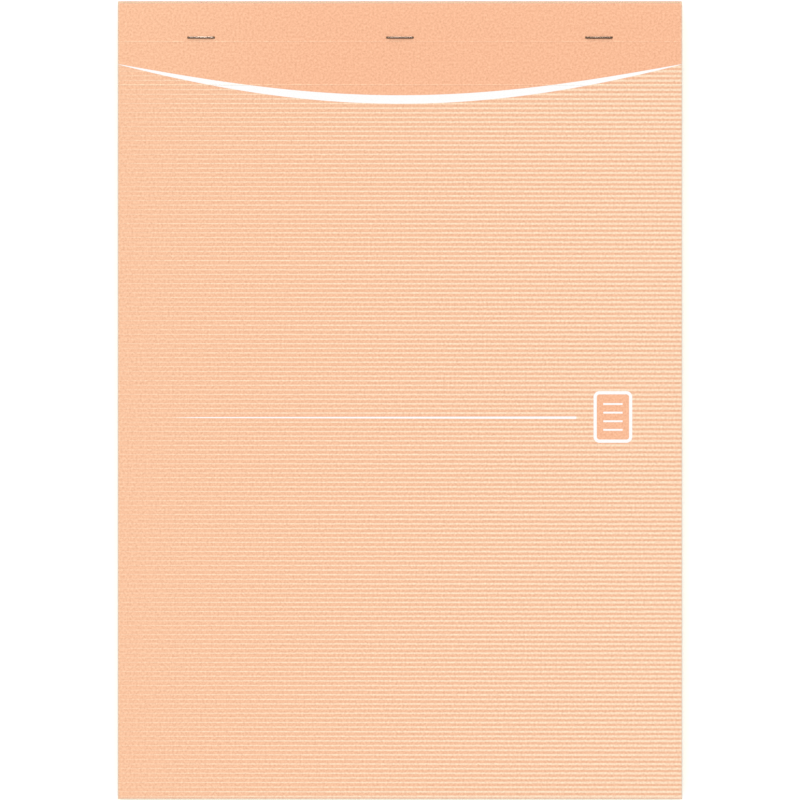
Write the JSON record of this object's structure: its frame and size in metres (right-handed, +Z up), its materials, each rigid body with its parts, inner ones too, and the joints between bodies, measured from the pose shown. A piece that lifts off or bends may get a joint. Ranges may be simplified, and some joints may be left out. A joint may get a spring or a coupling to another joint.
{
  "type": "legal pad",
  "caption": "Stapled legal pad with a card cover that wraps the head and flips over on a crease, a block of ruled sheets and a stiff greyboard back.",
  "frame": {"origin": "middle of the pad's outline, at its lowest point, under the turned-in staple legs", "axes": "+X across the pad to the right, +Y along the pad to the stapled head, +Z up out of the cover"},
  "size_m": [0.21, 0.297, 0.0105],
  "materials": {
    "cover_card": "smooth coated card",
    "writing_paper": "uncoated writing paper",
    "greyboard": "rough fibre board",
    "staple_wire": "drawn wire"
  },
  "bodies": {
    "pad": {"sheet_block": "writing_paper", "backboard": "greyboard", "head_wrap": "cover_card", "staple_left": "staple_wire", "staple_middle": "staple_wire", "staple_right": "staple_wire"},
    "cover": {"front_cover": "cover_card"}
  },
  "joints": [
    {"name": "cover_hinge", "type": "hinge", "parent": "pad", "child": "cover", "pos_m": [0, 0.1333, 0.01033], "axis": [-1, 0, 0], "range_deg": [0, 178]}
  ]
}
